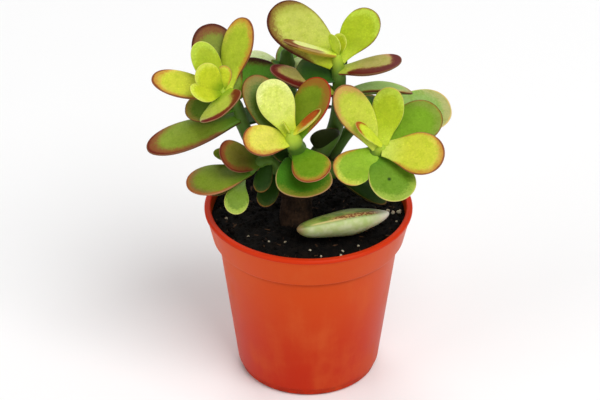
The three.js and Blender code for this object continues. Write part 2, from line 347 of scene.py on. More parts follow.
# %% The pot's sizes
POT_HEIGHT = 94 * MM
LIP_RADIUS = 52.5 * MM
LIP_INNER_RADIUS = 49.2 * MM
LIP_FOOT = POT_HEIGHT - 2.4 * MM
COLLAR_FOOT = POT_HEIGHT - 17.5 * MM
COLLAR_TOP_RADIUS = 51.7 * MM
COLLAR_FOOT_RADIUS = 48.6 * MM
BODY_TOP_RADIUS = 45.6 * MM
BODY_FOOT_RADIUS = 35.8 * MM
FOOT_RING_RADIUS = 35.2 * MM
FOOT_RING_HEIGHT = 4.2 * MM
WALL = 1.4 * MM
FLOOR_TOP = 2.9 * MM
DRAIN_HOLES = 6
DRAIN_RADIUS = 2.4 * MM
DRAIN_CIRCLE = 22 * MM
POT_SIDES = 132
PLUG_SIDES = 24
EDGE_ROUNDING = 0.22 * MM


def body_radius(height):
    return BODY_FOOT_RADIUS + (BODY_TOP_RADIUS - BODY_FOOT_RADIUS) * height / COLLAR_FOOT


# %% The pot's outline, up the outside and down the inside
outside = [
    (11 * MM, 0),
    (12.5 * MM, 1.1 * MM),
    (29 * MM, 1.1 * MM),
    (30.5 * MM, 0),
    (FOOT_RING_RADIUS - 1.4 * MM, 0),
    (FOOT_RING_RADIUS - 0.3 * MM, 0.9 * MM),
    (FOOT_RING_RADIUS, FOOT_RING_HEIGHT),
    (body_radius(4.8 * MM), FOOT_RING_HEIGHT + 0.6 * MM),
    (BODY_TOP_RADIUS, COLLAR_FOOT - 0.6 * MM),
    (BODY_TOP_RADIUS + 1 * MM, COLLAR_FOOT),
    (COLLAR_FOOT_RADIUS - 0.6 * MM, COLLAR_FOOT + 0.4 * MM),
    (COLLAR_FOOT_RADIUS, COLLAR_FOOT + 1.4 * MM),
    (COLLAR_TOP_RADIUS, LIP_FOOT),
    (LIP_RADIUS, LIP_FOOT + 0.6 * MM),
    (LIP_RADIUS, POT_HEIGHT - 0.7 * MM),
    (LIP_RADIUS - 0.7 * MM, POT_HEIGHT),
]
inside = [
    (LIP_INNER_RADIUS + 0.6 * MM, POT_HEIGHT),
    (LIP_INNER_RADIUS, POT_HEIGHT - 0.7 * MM),
    (LIP_INNER_RADIUS, LIP_FOOT + 0.6 * MM),
    (COLLAR_TOP_RADIUS - WALL, LIP_FOOT - 0.2 * MM),
    (COLLAR_FOOT_RADIUS - WALL, COLLAR_FOOT + 2.4 * MM),
    (BODY_TOP_RADIUS - WALL, COLLAR_FOOT + 0.4 * MM),
    (body_radius(4 * MM) - WALL, FLOOR_TOP + 1.1 * MM),
    (body_radius(4 * MM) - WALL - 1.2 * MM, FLOOR_TOP),
]
pot = turned("plastic_pot", outside + inside, POT_SIDES)

# %% The drain holes and the softened edges
for k in range(DRAIN_HOLES):
    turn = TAU * k / DRAIN_HOLES
    place = (DRAIN_CIRCLE * math.cos(turn), DRAIN_CIRCLE * math.sin(turn), 0)
    plug = added("cylinder", vertices=PLUG_SIDES, radius=DRAIN_RADIUS, depth=4 * FLOOR_TOP, location=place)
    applied(pot, "BOOLEAN", operation="DIFFERENCE", solver="EXACT", object=plug)
    bpy.data.objects.remove(plug)
applied(pot, "BEVEL", width=EDGE_ROUNDING, segments=2, limit_method="ANGLE", angle_limit=math.radians(28))
count(smooth(pot, 30))

# %% [markdown]
# The plastic is coloured right through and satin. Handling has left it a little dusty, so it is paler and
# duller in soft patches, and it is darker along the foot, where soil has dried. Painted shade darkens the
# body towards the foot, and a painted shadow darkens a band under the collar. Its mould left a very fine
# grain, which only the bump shows.

# %% Coloured plastic
plastic = Finish("pot_plastic", Specular_IOR_Level=0.06)
height = plastic.axis(2)
cloud = plastic.noise(26 * MM, detail=4.0)
streak = plastic.noise(5 * MM, detail=3.0, place=plastic.stretched(1, 1, 0.12))
dust = (cloud * 0.75 + streak * 0.25).ramp(0.42, 0.72)
scuff = plastic.noise(2.2 * MM, detail=5.0, roughness=0.7).ramp(0.66, 0.8)
foot_dirt = (1 - height.ramp(0, 6 * MM)) * plastic.noise(4 * MM).ramp(0.35, 0.6)
# painted shade: the body red darkens towards the foot and lightens towards the collar, as if lit from above
shaded_body_red = plastic.mix(height.ramp(10 * MM, COLLAR_FOOT + 6 * MM), paint(196, 46, 14), paint(212, 76, 22))
red = plastic.mix(dust * 0.5, shaded_body_red, paint(216, 98, 44))
lip_red = plastic.mix(height.ramp(LIP_FOOT - 0.6 * MM, LIP_FOOT + 0.4 * MM), red, paint(206, 52, 16))
red = plastic.mix(scuff * 0.3, lip_red, paint(226, 128, 92))
red = plastic.mix(foot_dirt * 0.45, red, paint(112, 36, 20))
# painted shadow: a darker band just under the collar
collar_shadow_gap = abs(height - (COLLAR_FOOT - 1.2 * MM))
red = plastic.mix((1 - collar_shadow_gap.ramp(0, 2.4 * MM)) * 0.3, red, paint(140, 32, 14))
grain = plastic.noise(0.6 * MM, detail=2.0)
worn(pot, plastic.wear(red, 0.34 + 0.16 * dust + 0.2 * scuff, grain + cloud * 1.5, depth=0.03 * MM))
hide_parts("pot")
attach(pot, "root")

# %% [markdown]
# ## The soil
# Damp black potting soil fills the pot to a little below its rim. It is turned like the pot, and its top is
# inset ring by ring so that there are enough points to raise and lower. Loose crumbs lie on it, with a few
# shreds of bark and white grains of perlite, so the surface isn't one skin.

# %% The soil's surface
SOIL_LEVEL = 90 * MM
SOIL_EDGE = LIP_INNER_RADIUS - 0.4 * MM
SOIL_SIDES = 144
SOIL_RING_STEP = 0.85 * MM
SOIL_GAP = 0.4 * MM
COARSE_LUMPS = (0.22, 1.1)  # how many to a millimetre, and how high they are
FINE_LUMPS = (0.8, 0.9)
CALM_EDGE = 2 * MM


def soil_height(x, y):
    """The long waves of the soil's top, in metres, for a place in millimetres."""
    waves = math.sin(0.21 * x + 1) * math.cos(0.17 * y) + 0.5 * math.sin(0.5 * x - 0.43 * y)
    return SOIL_LEVEL + (0.9 * waves - 0.0008 * (x * x + y * y)) * MM


soil = turned(
    "potting_soil",
    [
        (body_radius(4 * MM) - WALL - 1.9 * MM, 3.2 * MM),
        (body_radius(4 * MM) - WALL - SOIL_GAP, 4.6 * MM),
        (BODY_TOP_RADIUS - WALL - SOIL_GAP, COLLAR_FOOT + 0.6 * MM),
        (COLLAR_FOOT_RADIUS - WALL - SOIL_GAP, COLLAR_FOOT + 2.7 * MM),
        (SOIL_EDGE, SOIL_LEVEL),
    ],
    SOIL_SIDES,
)
only(soil)
bpy.ops.object.mode_set(mode="EDIT")
bpy.ops.mesh.select_all(action="DESELECT")
shape = bmesh.from_edit_mesh(soil.data)
shape.faces.ensure_lookup_table()
top = max(shape.faces, key=lambda face: face.calc_center_median().z * (len(face.verts) > 4))
top.select = True
bmesh.update_edit_mesh(soil.data)
for _ in range(int(SOIL_EDGE / SOIL_RING_STEP) - 1):
    bpy.ops.mesh.inset(thickness=SOIL_RING_STEP)
bpy.ops.mesh.poke()
bpy.ops.object.mode_set(mode="OBJECT")
for vertex in soil.data.vertices:
    p = vertex.co
    if p.z > SOIL_LEVEL - 0.5 * MM:
        place = p / MM
        coarse = noise.fractal(place * COARSE_LUMPS[0], 0.6, 2.2, 4) * COARSE_LUMPS[1]
        lumps = coarse + abs(noise.noise(place * FINE_LUMPS[0])) * FINE_LUMPS[1]
        edge = min(1, max(0, (SOIL_EDGE - p.xy.length) / CALM_EDGE))
        p.z = soil_height(place.x, place.y) + (lumps * edge - 0.5) * MM
count(smooth(soil, 35))

soil_points = [vertex.co for vertex in soil.data.vertices]
soil_surface = BVHTree.FromPolygons(soil_points, [face.vertices for face in soil.data.polygons])


def ground(x, y):
    """A place on the soil, for x and y in millimetres."""
    place, _, _, _ = soil_surface.ray_cast(Vector((x * MM, y * MM, 0.2)), Vector((0, 0, -1)))
    return place


# %% Crumbs, shreds of bark and perlite
def pebble(name, detail, place, size, flatness, turn, rng):
    """A rough lump: a ball with its points pushed in and out, flattened and turned."""
    made = copied(name, PEBBLES[detail])
    rough = [1 + rng.uniform(-0.28, 0.22) for _ in made.data.vertices]
    stretch = Vector((size * rng.uniform(0.8, 1.4), size * rng.uniform(0.7, 1.1), size * flatness))
    for vertex, push in zip(made.data.vertices, rough):
        vertex.co = place + turn @ (vertex.co * stretch) * push
    return made


PEBBLES = {}
for detail in (1, 2):
    ball = added("ico_sphere", subdivisions=detail, radius=1)
    PEBBLES[detail] = ball.data
    bpy.data.objects.remove(ball)

SCATTER_RADIUS = 47.5  # millimetres


def any_turn(rng, tilt=TAU):
    return Matrix.Rotation(rng.uniform(0, TAU), 3, "Z") @ Matrix.Rotation(rng.uniform(-tilt, tilt), 3, "X")


def any_place(rng):
    turn = rng.uniform(0, TAU)
    reach = SCATTER_RADIUS * math.sqrt(rng.random())
    return ground(reach * math.cos(turn), reach * math.sin(turn))


CRUMBS = 1300
LUMPS = 90
SHREDS = 130
rng = random.Random(7)
crumbs = []
for _ in range(CRUMBS):
    size = rng.uniform(0.25, 0.6) ** 1.6 * 2.4 * MM
    crumbs.append(pebble("crumb", 1, any_place(rng), size, rng.uniform(0.6, 1), any_turn(rng), rng))
for _ in range(LUMPS):
    size = rng.uniform(0.9, 1.9) * MM
    crumbs.append(pebble("crumb", 2, any_place(rng), size, rng.uniform(0.5, 0.9), any_turn(rng), rng))
shreds = []
for _ in range(SHREDS):
    place = any_place(rng) + Vector((0, 0, 0.2 * MM))
    made = pebble("shred", 1, Vector(), rng.uniform(0.9, 2.2) * MM, 0.18, Matrix.Identity(3), rng)
    turn = any_turn(rng, 0.35)
    for vertex in made.data.vertices:
        p = vertex.co
        vertex.co = place + turn @ Vector((p.x * 1.3, p.y * 0.35, p.z))
    shreds.append(made)

PERLITE = [  # x, y and radius in millimetres
    (40.2, 1.0, 0.9), (42.7, 1.0, 1.2), (46.0, 2.4, 1.4), (0.7, -35.8, 0.6), (6.0, -41.2, 0.7),
    (15.9, -37.6, 0.8), (16.8, -33.6, 0.6), (-19.6, -26.8, 0.6), (-11.7, -27.7, 0.6), (24.6, -31.0, 0.7),
    (44.2, -7.5, 0.6), (-30.1, -20.3, 0.7), (-34.5, 12.3, 1.0), (-12.4, 33.0, 1.1), (13.3, 38.6, 0.9),
    (27.5, 25.2, 1.2), (-41.5, -3.2, 0.8), (34.0, 14.0, 0.8), (-3.2, 43.1, 0.9), (-25.0, 30.6, 1.0),
]
grains = [
    pebble("grain", 2, ground(x, y) + Vector((0, 0, 0.35 * r * MM)), r * MM, 0.85, any_turn(rng), rng)
    for x, y, r in PERLITE
]
print(len(crumbs), "crumbs", len(shreds), "shreds", len(grains), "grains")

# %% [markdown]
# Wet peat is almost black and only the tips of its crumbs catch the light. Bark is a shade browner. Perlite
# is blown volcanic glass, white and matt, stained by the peat.

# %% Peat, bark shred and perlite
peat = Finish("peat", Specular_IOR_Level=0.12)
cloud = peat.noise(4 * MM, detail=5.0, roughness=0.65)
fine = peat.noise(0.7 * MM, detail=4.0, roughness=0.7)
tone = peat.mix(cloud.ramp(0.35, 0.7), paint(5, 4, 3), paint(24, 18, 13))
tone = peat.mix(fine.ramp(0.62, 0.8) * 0.5, tone, paint(66, 50, 34))
peat_skin = peat.wear(tone, 0.65 + 0.3 * cloud, fine + cloud * 2, depth=0.7 * MM)

shred = Finish("bark_shred", Specular_IOR_Level=0.15)
cloud = shred.noise(2.5 * MM, detail=4.0)
fibre = shred.noise(0.5 * MM, place=shred.stretched(1, 0.3, 1))
tone = shred.mix(cloud.ramp(0.35, 0.65), paint(24, 16, 11), paint(84, 58, 38))
shred_skin = shred.wear(tone, 0.7 + 0.2 * fibre, fibre, depth=0.3 * MM)

perlite = Finish("perlite", Specular_IOR_Level=0.4, Subsurface_Weight=0.1, Subsurface_Scale=1 * MM)
cloud = perlite.noise(1.2 * MM, detail=4.0)
tone = perlite.mix(cloud.ramp(0.45, 0.7), paint(188, 176, 150), paint(120, 100, 76))
perlite_skin = perlite.wear(tone, 0.6 + 0.3 * cloud, cloud, depth=0.3 * MM)

worn(soil, peat_skin)
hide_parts("soil")
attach(soil, "root")
LITTER = {
    "soil_crumbs": (crumbs, peat_skin),
    "bark_shreds": (shreds, shred_skin),
    "perlite_grains": (grains, perlite_skin),
}
for name, (pieces, coat) in LITTER.items():
    made = count(worn(joined(name, pieces), coat))
    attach(made, "root")

# %% [markdown]
# ## The growth
# A leafy stem is a green shoot: the points it passes from the woody trunk to its tip, its radius at both
# ends, and its leaves in crossed pairs. A leaf is a share of the way along the stem, then azimuth, rise and
# roll in degrees, length and width in millimetres, bend in degrees, and how narrow it stays near its foot
# (1 for an oval, 2 or more for a spoon). The last entries are its looks: a tone, a kind of rim, and how
# strong the rim is on the right-hand margin, the left-hand margin and the tip.

# %% Stems and leaves
# SHADED is painted shade: a dark tone for a leaf deep in the crown, where shade falls
SHADED = ("dark", "brown", (0.2, 0.2, 0.3))  # how a leaf deep in the crown looks
STEMS = {
    "top": {
        "path": [
            (3, 4.5, 118), (8.5, 4.5, 126), (12.5, 4, 134),
            (14.8, 4, 147), (15, 4, 162), (13.8, 4, 177.5),
        ],
        "radius": (4.6, 2.9),
        "leaves": [
            (0.1, 285, 62, 0, 20, 15, 6, 1.4, *SHADED),
            (0.63, 10, -3, -8, 37, 13, -42, 1.6, "grey_green", "brown", (0.5, 0.2, 0.8)),
            (0.65, 184, 24, -4, 37.5, 17, 4, 1.6, "tan_olive", "wine_deep", (0, 1.2, 0.5)),
            (0.79, 160, 8, -20, 22, 18, 0, 1.5, "deep", "brown", (0.1, 0.1, 0.2)),
            (0.84, 100, -5, 0, 20, 13, 6, 1.6, "deep", "brown", (0.2, 0.2, 0.3)),
            (0.86, 342, 18, 6, 33.5, 17, 4, 1.5, "tan_olive", "wine_deep", (1.4, 0.1, 0.8)),
            (0.92, 148, 28.5, -38, 43, 24, 8, 1.2, "grainy_olive", "bronze", (0.25, 1, 0.6)),
            (1, 187, 20, 16, 28, 15, 8, 1.5, "cream", "wine_tip", (0, 0.3, 1)),
            (0.94, 42, 40, 28, 31, 18, 6, 2.2, "lime", "brown", (0.4, 0.1, 0.6)),
            (1, 225, 76, 0, 13, 8, 6, 1.5, "young", "orange", (0.1, 0.1, 0.1)),
            (1, 45, 72, 0, 11, 9, 6, 1.5, "young", "orange", (0.1, 0.1, 0.1)),
        ],
    },
    "left": {
        "path": [
            (-13, 0, 117), (-25, -2, 127), (-32, -3, 141),
            (-34, -4, 150), (-37, -5, 157), (-42.5, -5, 162),
        ],
        "radius": (4.4, 2.5),
        "leaves": [
            (0.6, 60, -6, 0, 24, 16, 4, 1.5, "deep", "brown", (0.5, 0.5, 0.7)),
            (0.68, 195, -14, -15, 49, 19, 6, 1.5, "long_olive", "brick", (0.2, 0.6, 1)),
            (0.8, 174, -8, -32, 26, 16, 0, 1.5, "dull_olive", "brown", (0.2, 0.6, 0.7)),
            (0.98, 268, 0, 36, 23, 25, 8, 1.3, "pale_lime", "wine_tip", (0.1, 1, 1.3)),
            (0.84, 119, 44, -12, 42, 23, 8, 1.3, "olive", "bronze", (0.8, 1, 1.2)),
            (0.96, 67, 52, 0, 39, 16, 6, 2.4, "lime_grain", "ember", (0.8, 0.05, 0.5)),
            (0.94, 172, 11, -22, 38, 16, 6, 1.7, "bright", "ember", (0.1, 0.5, 0.9)),
            (0.98, 143, 54, -30, 28, 14, 8, 1.8, "lime", "orange", (0, 0.1, 0.1)),
            (1, 217, 18, -28, 19, 12, 20, 1.6, "young", "orange", (0, 0.1, 0.1)),
            (1, 183, 52, -60, 18, 13, 15, 1.5, "young", "orange", (0.1, 0.1, 0.2)),
            (1, 75, 62, 10, 13, 8, 15, 1.5, "young", "orange", (0.8, 0.8, 0.8)),
        ],
    },
    "front": {
        "path": [(-6, -6.5, 116), (-5.5, -13, 126), (-5.5, -20, 138), (-7.5, -25, 146), (-8.3, -26, 150)],
        "radius": (4.2, 4.3),
        "leaves": [
            (0.25, 172, 50, -30, 20, 14, 6, 1.4, *SHADED),
            (0.5, 282, -24, 0, 25, 28, 14, 0.8, "leaf_green", "cream_red", (0.3, 0.7, 0.7)),
            (0.68, 299, -12, 16, 24, 19, 14, 1.7, "grass", "blood", (0.8, 0.3, 1)),
            (0.7, 142, 44, -25, 42, 20, 4, 1.2, "dull_olive", "brown", (0.2, 0.5, 0.9)),
            (0.88, 53, 47, 12, 34, 18, 6, 1.6, "olive_rust", "flush", (1, 0.1, 0.8)),
            (0.92, 194, 6, -33, 25, 17, 8, 1.6, "yellow", "ember", (0.1, 0.9, 0.9)),
            (0.97, 131, 50, -29, 30, 18, 8, 2.2, "pale", "orange", (0, 0, 0.05)),
            (1, 13, 40, -12, 19, 11, 6, 1.3, "red_fold", "gold", (1, 1, 0.3)),
            (1, 190, 62, 0, 9, 5, 6, 1.5, "young", "orange", (0.1, 0.1, 0.2)),
        ],
    },
    "right": {
        "path": [(7, -2, 113), (20.5, -7, 122.5), (31, -11.5, 130.5), (36.5, -14, 136)],
        "radius": (4.4, 2.5),
        "leaves": [
            (0.15, 350, -30, 10, 32, 12, 4, 1.4, *SHADED),
            (0.84, 304, -30, 4, 29, 24, 10, 1.6, "soft_green", "gold", (0.6, 0.6, 0.9)),
            (0.86, 220, -14, -30, 25, 19, 10, 1.4, "fresh", "rust", (1, 0.05, 0.4)),
            (0.9, 27, 24, 24, 37, 24, 4, 1.3, "spotted_green", "brown", (0.4, 0.7, 0.7)),
            (0.93, 151, 52, -46, 37, 17.5, 6, 1.7, "pale_grain", "rose", (0.1, 1, 1)),
            (0.96, 345, 0, 40, 32, 22, 8, 2, "bright", "ember", (0.8, 0.5, 1.1)),
            (0.98, 74, 57, 12, 30, 16, 6, 2.4, "lime", "orange", (0.1, 0.1, 0.3)),
            (1, 177, 44, -14, 19, 8, 4, 1.5, "red_tip", "orange", (0.1, 0.1, 0.3)),
        ],
    },
    "far": {
        "path": [(11, 10.5, 115.5), (15.5, 11.5, 123), (21, 12.5, 130), (28, 14, 134), (34, 15, 137)],
        "radius": (3.8, 2.4),
        "leaves": [
            (0.66, 60, 25, 0, 20, 15, 6, 1.5, "dark", "brown", (0.5, 0.5, 0.7)),
            (0.7, 300, 10, 0, 15, 9, 6, 1.5, *SHADED),
            (0.94, 15, -1, 35, 41, 24, 4, 1.3, "grey_green", "pink", (0.3, 0.3, 0.6)),
            (1, 150, 25, -20, 14, 10, 6, 1.5, "leaf_green", "brown", (0.2, 0.2, 0.2)),
        ],
    },
    "low": {
        "path": [
            (-14.5, -8.5, 116), (-16, -9.5, 121.5), (-19.5, -11.5, 127),
            (-25, -14.5, 127), (-29.5, -17.5, 124), (-33, -20, 122),
        ],
        "radius": (3.2, 2.3),
        "leaves": [
            (0.14, 240, -45, 0, 20, 11.5, 6, 1.5, "dark", "brown", (0.1, 0.2, 0.4)),
            (0.42, 246, -45, 0, 17, 9.5, 6, 1.5, "dark", "brown", (0.1, 0.2, 0.4)),
            (0.95, 200, -16, -16, 20, 11, 6, 1.5, *SHADED),
            (1, 258, -30, -14, 20.5, 12, 8, 2.6, "spoon_green", "gold", (0.4, 0.1, 0.5)),
            (0.8, 200, -6, -9, 33, 21, 6, 1.4, "mossy", "blood", (0.1, 0.5, 0.8)),
            (0.58, 170, 7, -30, 24, 8, 6, 1.5, "leaf_green", "brown", (0.1, 0.1, 0.1)),
            (0.6, 205, 26, -34, 24, 18, 10, 1.4, "rusty_olive", "brick", (0.1, 1, 1)),
        ],
    },
    "back": {
        "path": [(-7, 8, 116), (-8, 14, 130), (-9.3, 19, 143), (-10.3, 22, 156), (-11, 24, 168)],
        "radius": (4.2, 4),
        "leaves": [
            (0.5, 10, -10, -30, 22, 20, 6, 1.4, *SHADED),
            (0.77, 171, -8, -40, 31, 20, -30, 1.3, "arched_green", "dark_brown", (1.5, 0.1, 0.8)),
            (0.72, 80, 15, 0, 30, 19, 4, 1.4, "green", "brown", (0.6, 0.6, 0.8)),
            (0.88, 20, 0, 0, 24, 14, 6, 1.6, "milky", "brown", (0.1, 0.1, 0.2)),
            (0.86, 190, 25, 0, 9, 6, 6, 1.5, "leaf_green", "brown", (0.1, 0.1, 0.2)),
            (0.7, 130, 8, 0, 32, 15, 4, 1.4, "milky", "brown", (0, 0, 0.1)),
            (1, 60, 50, 0, 10, 8, 6, 1.5, "deep", "brown", (0.1, 0.1, 0.2)),
        ],
    },
}
print(len(STEMS), "leafy stems with", sum(len(stem["leaves"]) for stem in STEMS.values()), "leaves")

# %% [markdown]
# A jade leaf's colour tells its age and its light: the young ones are yellow-green, the old ones dark, and
# the sun reddens the margins. The dark and deep tones of leaves deep in the crown and the dark green foot of
# a young leaf are painted shade, and the whitish blade of one top leaf is a painted highlight. Four paints
# make a tone (at the foot, on the blade, at the tip and on the underside). A rim has a paint for its dark
# line and one for the speckled blush inside it, then three widths in millimetres (of the line on the face, of
# the line underneath and of the blush), and how pale the very edge is.

# %% Tones and rims
TONES = {
    # young: its dark green foot is painted shade inside the cup of a young pair
    "young": ((130, 160, 24), (196, 206, 44), (208, 218, 80), (190, 208, 60)),
    "bright": ((200, 214, 90), (196, 200, 56), (208, 196, 74), (160, 160, 60)),
    "lime": ((190, 208, 60), (166, 184, 30), (180, 200, 60), (140, 168, 44)),
    "lime_grain": ((192, 208, 60), (164, 180, 42), (188, 180, 60), (146, 150, 56)),
    "pale_grain": ((204, 216, 84), (196, 206, 68), (204, 184, 80), (150, 140, 60)),
    "pale": ((190, 206, 40), (212, 220, 106), (222, 228, 138), (176, 196, 80)),
    "pale_lime": ((150, 180, 40), (178, 190, 70), (196, 186, 110), (120, 30, 34)),
    # its whitish blade is a painted highlight
    "cream": ((206, 222, 60), (226, 230, 150), (206, 150, 90), (196, 164, 60)),
    "yellow": ((190, 206, 40), (214, 208, 82), (214, 186, 72), (170, 120, 60)),
    "grainy_olive": ((180, 196, 40), (188, 194, 84), (160, 156, 60), (120, 112, 46)),
    "fresh": ((150, 190, 50), (142, 178, 40), (196, 204, 76), (176, 180, 70)),
    "grass": ((84, 134, 28), (110, 146, 28), (166, 144, 46), (196, 140, 100)),
    "green": ((120, 160, 56), (92, 136, 34), (116, 146, 48), (90, 116, 48)),
    "spotted_green": ((140, 180, 50), (120, 160, 34), (130, 152, 56), (96, 120, 46)),
    "soft_green": ((84, 132, 30), (108, 146, 36), (150, 174, 66), (90, 124, 46)),
    "spoon_green": ((120, 146, 84), (114, 142, 44), (158, 178, 70), (110, 140, 70)),
    "leaf_green": ((56, 104, 20), (64, 116, 20), (112, 122, 34), (100, 90, 40)),
    "arched_green": ((88, 144, 44), (92, 146, 42), (110, 120, 34), (100, 90, 40)),
    # deep and dark: painted shade, dark tones for leaves deep in the crown
    "deep": ((44, 84, 20), (46, 84, 18), (70, 94, 26), (54, 66, 26)),
    "dark": ((36, 64, 18), (42, 72, 20), (62, 80, 32), (40, 48, 20)),
    "olive": ((130, 160, 30), (122, 134, 36), (134, 96, 36), (80, 66, 34)),
    "dull_olive": ((70, 114, 28), (92, 118, 36), (134, 126, 56), (70, 70, 34)),
    "long_olive": ((84, 124, 30), (130, 150, 46), (136, 100, 48), (80, 56, 34)),
    "rusty_olive": ((80, 112, 30), (124, 118, 44), (156, 90, 48), (120, 46, 40)),
    "olive_rust": ((96, 138, 20), (112, 134, 22), (148, 104, 34), (110, 70, 34)),
    "tan_olive": ((170, 186, 60), (168, 158, 84), (190, 140, 100), (130, 70, 50)),
    "mossy": ((76, 112, 28), (120, 140, 40), (130, 108, 56), (96, 60, 34)),
    "grey_green": ((140, 176, 84), (146, 178, 92), (176, 176, 110), (130, 150, 90)),
    "milky": ((190, 210, 130), (206, 222, 160), (214, 224, 170), (190, 206, 150)),
    "red_fold": ((214, 220, 60), (190, 86, 32), (150, 44, 18), (222, 222, 70)),
    "red_tip": ((206, 220, 56), (204, 218, 60), (170, 74, 30), (206, 220, 66)),
}
RIMS = {
    "brown": ((92, 48, 24), (150, 104, 44), 0.5, 0.4, 1.6, 0),
    "dark_brown": ((56, 22, 12), (96, 60, 24), 3, 0.8, 3, 0),
    "bronze": ((80, 26, 16), (118, 62, 30), 1.6, 1, 5, 0),
    "wine_deep": ((92, 12, 10), (136, 54, 36), 7, 2.4, 4, 0.1),
    "wine_tip": ((108, 8, 18), (150, 70, 50), 9, 3, 5, 0.2),
    "brick": ((100, 24, 18), (130, 62, 36), 1.4, 1.4, 4.5, 0.1),
    "blood": ((136, 32, 20), (168, 98, 46), 1.2, 0.9, 2.6, 0.2),
    "ember": ((118, 34, 20), (188, 112, 46), 1.1, 0.9, 3.6, 0.1),
    "flush": ((160, 40, 24), (142, 96, 30), 0.9, 0.6, 8, 0),
    "rust": ((142, 54, 26), (200, 128, 56), 0.6, 0.6, 2.4, 0.2),
    "orange": ((122, 66, 32), (196, 140, 46), 0.35, 0.4, 1.8, 0.3),
    "rose": ((146, 52, 30), (216, 162, 94), 0.7, 0.6, 3, 0.2),
    "pink": ((170, 96, 60), (224, 176, 104), 0.4, 0.4, 1.6, 0.5),
    "cream_red": ((124, 46, 26), (160, 116, 58), 0.9, 0.7, 1.6, 0.25),
    "gold": ((176, 170, 76), (182, 190, 78), 0.5, 0.4, 1, 0.3),
}
print(len(TONES), "tones and", len(RIMS), "rims")

# %% [markdown]
# ## One leaf, many times
# Every leaf is the same plump lens with another length, width, slant and curl. So one ball is added with its
# poles at foot and tip, and each copy's points are carried to their leaf by formula: round the section for
# the flesh, along the midrib for the curl. The ball also gets a map of the leaf: the turn round its section
# and the share of its length, so that a rim can follow the margin whatever the leaf's shape.

# %% The master leaf
LEAF_SIDES = 40
LEAF_RINGS = 30
WIDEST_AT = 0.62  # share of the length
TIP_POWER = 2.2  # higher is a blunter tip
CORNER_POWER = 2.1  # higher is a squarer one
POLE = 1e-4


def turn_round(p):
    """The share of a turn round the section: 0 at the right-hand margin, 1/4 on the face."""
    return math.atan2(p.z, -p.y) / TAU


master_leaf = added("uv_sphere", segments=LEAF_SIDES, ring_count=LEAF_RINGS, rotation=(0, math.pi / 2, 0))
bpy.ops.object.transform_apply()
bpy.ops.object.shade_smooth()
for old_map in list(master_leaf.data.uv_layers):
    master_leaf.data.uv_layers.remove(old_map)
leaf_map = master_leaf.data.uv_layers.new(name="leaf_map")
for face in master_leaf.data.polygons:
    middle = turn_round(face.center)
    for corner in face.loop_indices:
        p = master_leaf.data.vertices[master_leaf.data.loops[corner].vertex_index].co
        turn = middle if math.hypot(p.y, p.z) < POLE else turn_round(p)
        leaf_map.data[corner].uv = (turn + round(middle - turn), (p.x + 1) / 2)
count(master_leaf)


# %% The shape of a leaf
THICKNESS = (0.21, 0.9)  # a leaf is this many times its length in millimetres to this power thick
FACE_SHARE = 0.7  # how high the face rises, when the underside bulges by 1
SECTION_POWER = 0.9  # lower is a boxier section
CUPPING = 0.1  # how far the margins rise, in half widths
WOBBLE = 0.05  # of the width
DENTS = 0.12  # of the thickness


def leaf_outline(s, spoon, neck):
    """Half the width of a leaf of width 2, from a narrow foot to a round tip."""
    if s > WIDEST_AT:
        past = (s - WIDEST_AT) / (1 - WIDEST_AT)
        return max(0, 1 - past**TIP_POWER) ** (1 / CORNER_POWER)
    return neck + (1 - neck) * math.sin(math.pi / 2 * s / WIDEST_AT) ** spoon


def leaf_flesh(s, foot_share, taper):
    """How fleshy the leaf is along its length, as a share of its greatest thickness."""
    belly = math.sin(math.pi * min(1, taper * s))
    return (foot_share + (1 - foot_share) * belly) * math.sqrt(max(0, 1 - s**6))


def healed(s, reach):
    """Rounds off the foot of a leaf that has come away, over a share of its length."""
    return math.sqrt(1 - (1 - s / reach) ** 2) if s < reach else 1


def grown_leaf(
    name, foot, slant, size, bend, spoon,
    sunk=1 * MM, neck=0.38, foot_share=0.72, fatness=1, taper=1.1, heal=0,
):
    """A copy of the master leaf, carried to its foot with its slant (azimuth, rise, roll) and size.

    sunk is how deep its foot sits in the stem, neck and foot_share how wide and how fleshy it is there, and
    taper how soon its flesh thins out: 1.1 well before the tip, less for a leaf that stays plump.
    """
    azimuth, rise, roll = map(math.radians, slant)
    length, width = size
    lifted = Matrix.Rotation(azimuth, 3, "Z") @ Matrix.Rotation(-rise, 3, "Y")
    along, to_left, face = (lifted @ Matrix.Rotation(roll, 3, "X")).col
    thickness = THICKNESS[0] * (length / MM) ** THICKNESS[1] * fatness * MM
    sag = length * math.tan(math.radians(bend) / 2)
    own = Vector((azimuth, rise, length / MM))  # no two leaves wobble alike
    made = copied(name, master_leaf.data)
    for vertex in made.data.vertices:
        p = vertex.co
        share = (p.x + 1) / 2
        s = sunk / length + (1 - sunk / length) * share
        ring = max(math.hypot(p.y, p.z), POLE)
        inner = 1 if ring > POLE else 0
        across = -p.y / ring * inner
        up = math.copysign(abs(p.z / ring) ** SECTION_POWER, p.z) * inner
        wobble = 1 + WOBBLE * noise.noise(own + Vector((2.2 * s, 0.8 * across, 0)))
        half_width = width / 2 * leaf_outline(s, spoon, neck) * wobble * healed(s, heal)
        half_thickness = thickness / 2 * leaf_flesh(s, foot_share, taper) * healed(s, heal)
        dent = 1 + DENTS * noise.noise(2 * own + Vector((3 * s, 1.6 * across, 0)))
        bulge = (FACE_SHARE if up > 0 else 1) * half_thickness * up * dent
        lift = bulge + CUPPING * half_width * across**2
        midrib = foot + along * (s * length) - face * (sag * s * (1 - s))
        vertex.co = midrib - to_left * (half_width * across) + face * lift
    made.data.update()
    return made


